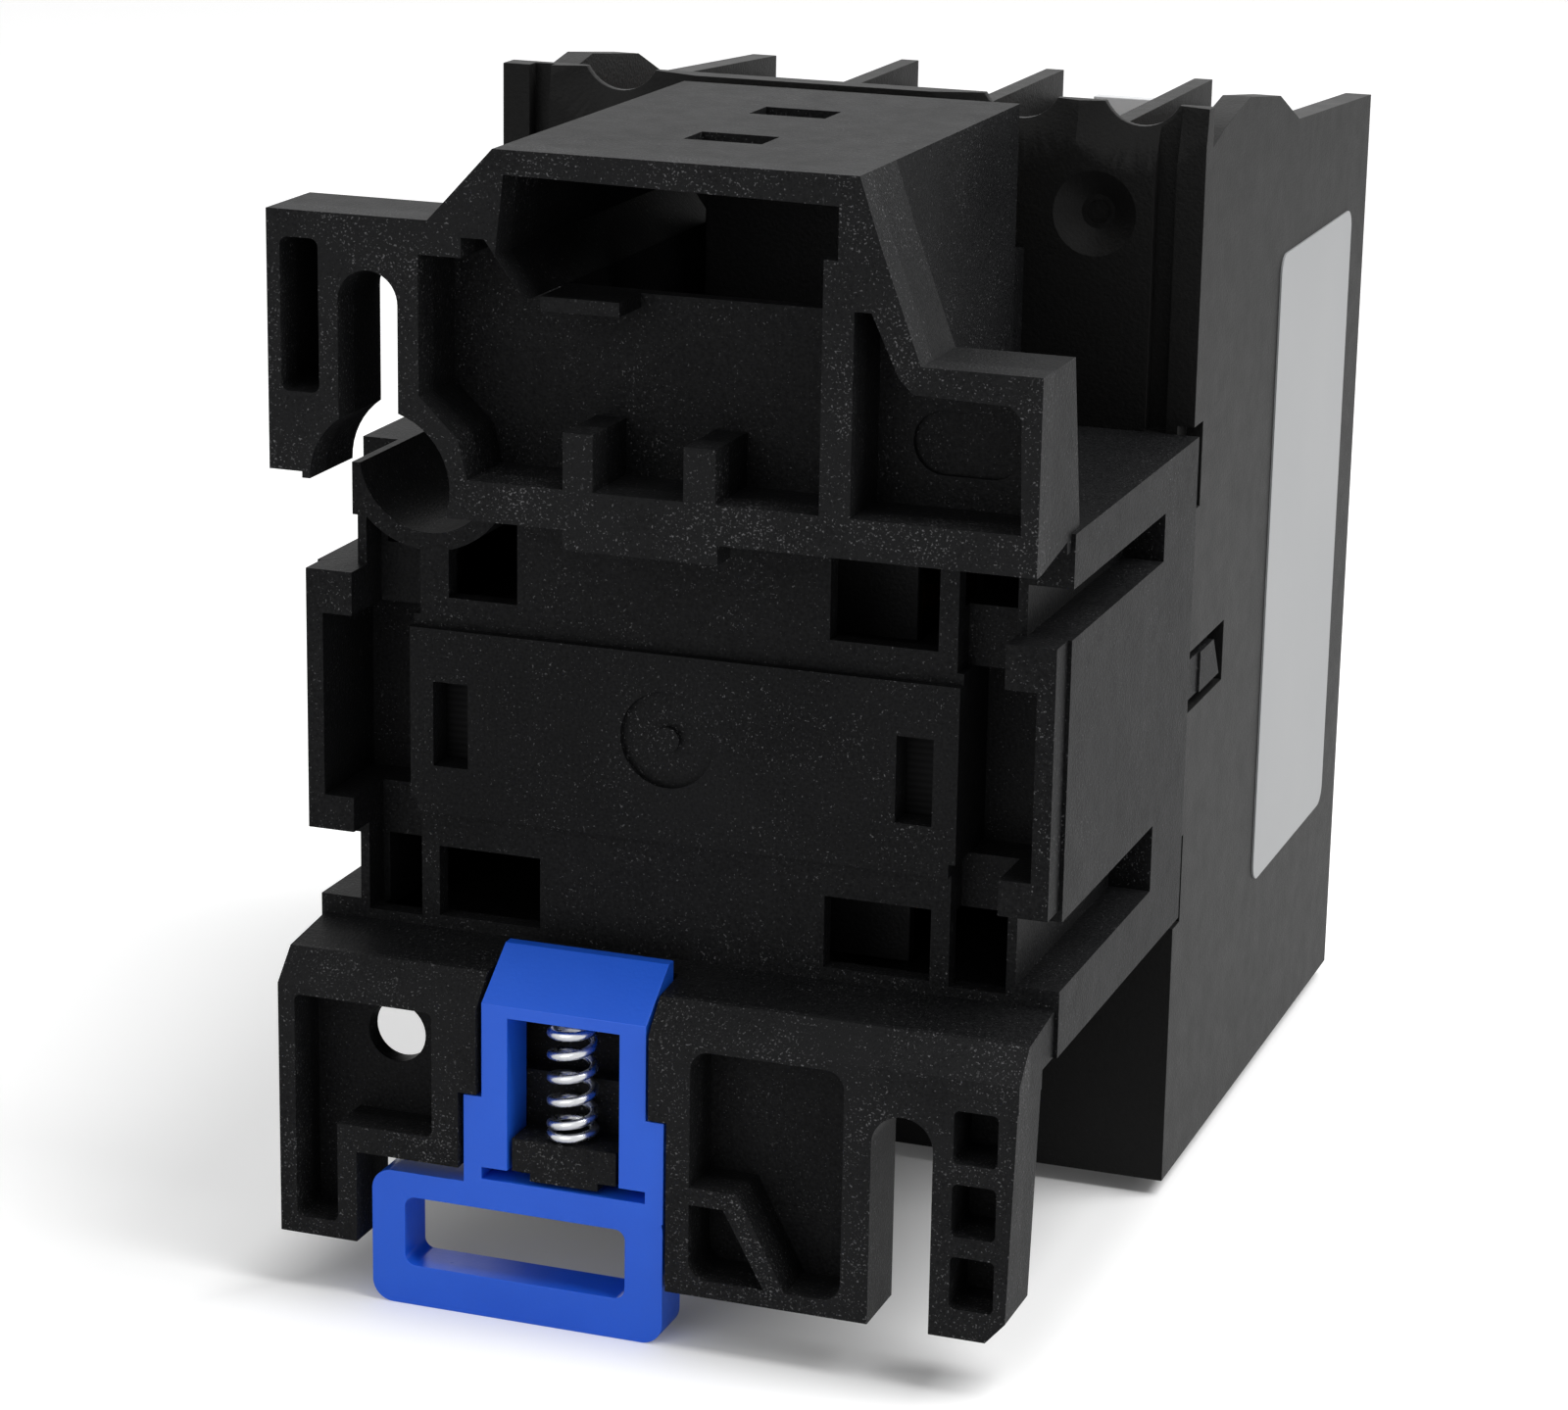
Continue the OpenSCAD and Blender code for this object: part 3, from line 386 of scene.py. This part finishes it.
def screw_body(name, head, head_height, shank, shank_length, spots):
    """Pan-head screws with a cross recess, heads towards the front, all in one piece."""
    recess_length, recess_width, recess_depth = head * 0.56, head * 0.13, head_height * 0.65
    chamfer, overlap = 0.0003, 0.0001
    pick()
    bpy.ops.mesh.primitive_cylinder_add(vertices=40, radius=head / 2, depth=head_height,
        location=(0, 0, head_height / 2))
    body = bpy.context.active_object
    dome = body.modifiers.new("dome", "BEVEL")
    dome.width, dome.segments, dome.limit_method = head_height * 0.3, 4, "ANGLE"
    bpy.ops.object.modifier_apply(modifier="dome")
    for turn in (45, 135):
        bpy.ops.mesh.primitive_cube_add(size=1, location=(0, 0, head_height),
            rotation=(0, 0, math.radians(turn)), scale=(recess_length, recess_width, 2 * recess_depth))
        cutter = bpy.context.active_object
        recess = body.modifiers.new("recess", "BOOLEAN")
        recess.operation, recess.object, recess.solver = "DIFFERENCE", cutter, "EXACT"
        bpy.context.view_layer.objects.active = body
        bpy.ops.object.modifier_apply(modifier="recess")
        bpy.data.objects.remove(cutter)
    bpy.ops.mesh.primitive_cylinder_add(vertices=32, radius=shank / 2, depth=shank_length,
        location=(0, 0, overlap - shank_length / 2))
    bpy.ops.object.mode_set(mode="EDIT")
    bpy.ops.mesh.select_all(action="SELECT")
    bpy.ops.mesh.bevel(offset=chamfer, segments=2)
    bpy.ops.object.mode_set(mode="OBJECT")
    pick(body, bpy.context.active_object)
    bpy.ops.object.join()
    bpy.ops.object.transform_apply(location=True, rotation=True, scale=True)
    bpy.ops.object.shade_smooth_by_angle(angle=math.radians(smooth_under))
    screws = []
    for spot in spots:
        screw = bpy.data.objects.new(name + "_screw", body.data.copy())
        scene.collection.objects.link(screw)
        screw.location, screw.rotation_euler = spot, (math.radians(90), 0, 0)
        screws.append(screw)
    bpy.data.objects.remove(body)
    pick(*screws)
    bpy.ops.object.join()
    bpy.ops.object.transform_apply(location=True, rotation=True, scale=True)
    fit(bpy.context.active_object, name, "housing", zinc)


head, head_height, shank = 0.007, 0.0026, 0.004
low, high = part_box("terminal_screws")
front, pitch = low.y + head_height, (high.x - low.x - head) / 3
screw_body("terminal_screws", head, head_height, shank, high.y - front,
    [(low.x + head / 2 + i * pitch, front, z) for i in range(4)
     for z in (low.z + head / 2, high.z - head / 2)])
head, head_height, shank = 0.0054, 0.002, 0.003
low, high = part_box("coil_terminal_screws")
front, middle = low.y + head_height, (low.z + high.z) / 2
screw_body("coil_terminal_screws", head, head_height, shank, high.y - front,
    [(x, front, middle) for x in (low.x + head / 2, high.x - head / 2)])


# ---- Moving parts ----
# The carrier slides with the armature and the four contact bridges. Two springs push it back to
# the front, and one spring in each window presses its bridge.

carrier_plastic = glass_filled("carrier plastic", dark=(0.055, 0.056, 0.058),
    light=(0.066, 0.067, 0.07), fleck=(0.16, 0.16, 0.16), roughness=0.45, fleck_share=0.02,
    specular=0.35)
eased("contact_carrier", "carrier", 0.00015, carrier_plastic)
dress("armature_pin", zinc)
dress("return_springs", spring_steel)
low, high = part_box("return_springs")
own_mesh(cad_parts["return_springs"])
for pole in poles:
    dress("contact_spring_" + pole, spring_steel)
    low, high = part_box("contact_spring_" + pole)
    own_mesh(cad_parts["contact_spring_" + pole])


# ---- Floor, light and camera ----
# A plain white table under an even white surround, a large soft lamp above and to one side,
# and a weaker one opposite. The table glows for the camera, but less within the part's
# footprint: a painted shadow under the part, laid on top of the real shadow there.

bpy.ops.mesh.primitive_plane_add(size=6, location=(0, 0, 0))
floor = bpy.context.active_object
table = Finish("white table", (0.86, 0.86, 0.86), 0.7)


def away(axis, inner, outer):
    """0 nearer to the middle than inner, 1 past outer, along one axis of the table."""
    position = table.node("ShaderNodeSeparateXYZ", {}, {"Vector": table.place}, axis)
    return table.node("ShaderNodeMapRange", {"interpolation_type": "SMOOTHSTEP"},
        {"Value": abs(position), "From Min": inner, "From Max": outer})


# painted shadow: within the part's footprint the table's glow for the camera drops by this share
table_glow, shade = 0.44, 0.9
painted_shadow = 1 - away("X", inner=0.0245, outer=0.0345).most(away("Y", inner=0.043, outer=0.056))
seen = table.node("ShaderNodeLightPath", {}, {}, "Is Camera Ray")
glow = table.node("ShaderNodeEmission", {}, {"Strength": seen * (1 - painted_shadow * shade) * table_glow})
lit = Amount(table, table.surface.outputs["BSDF"])
table.feed("Material Output", "Surface", table.node("ShaderNodeAddShader", {}, {0: lit, 1: glow}))
floor.data.materials.append(table.material)

world = bpy.data.worlds.new("surround")
scene.world = world
world.use_nodes = True
surround = Shading(world.node_tree)
camera_ray, glossy_ray, clear_ray = (surround.node("ShaderNodeLightPath", {}, {}, "Is %s Ray" % kind)
    for kind in ("Camera", "Glossy", "Transmission"))
white_seen, light_given = 1.02, 0.28
strength = camera_ray.most(glossy_ray).most(clear_ray) * (white_seen - light_given) + light_given
surround.feed("Background", "Strength", strength)
world.node_tree.nodes["Background"].inputs["Color"].default_value = (1, 1, 1, 1)


def soft_lamp(name, spot, size, power):
    """A square studio lamp aimed at the middle of the part."""
    middle = Vector((0, 0, 0.04))
    data = bpy.data.lights.new(name, "AREA")
    data.shape, data.size, data.energy = "SQUARE", size, power
    lamp = bpy.data.objects.new(name, data)
    scene.collection.objects.link(lamp)
    lamp.location = spot
    lamp.rotation_euler = (middle - Vector(spot)).to_track_quat("-Z", "Y").to_euler()


soft_lamp("key", spot=(-0.46, -0.04, 0.78), size=0.6, power=8.6)
soft_lamp("fill", spot=(0.25, 0.75, 0.4), size=0.6, power=1.5)

lens = bpy.data.cameras.new("camera")
lens.lens, lens.sensor_width = 101.125, 36
camera = bpy.data.objects.new("camera", lens)
scene.collection.objects.link(camera)
camera.location = (-0.106128, 0.319053, 0.131453)
camera.rotation_euler = [math.radians(angle) for angle in (73.9304, -0.9776, -160.2407)]
scene.camera = camera
scene.view_settings.view_transform = "Standard"
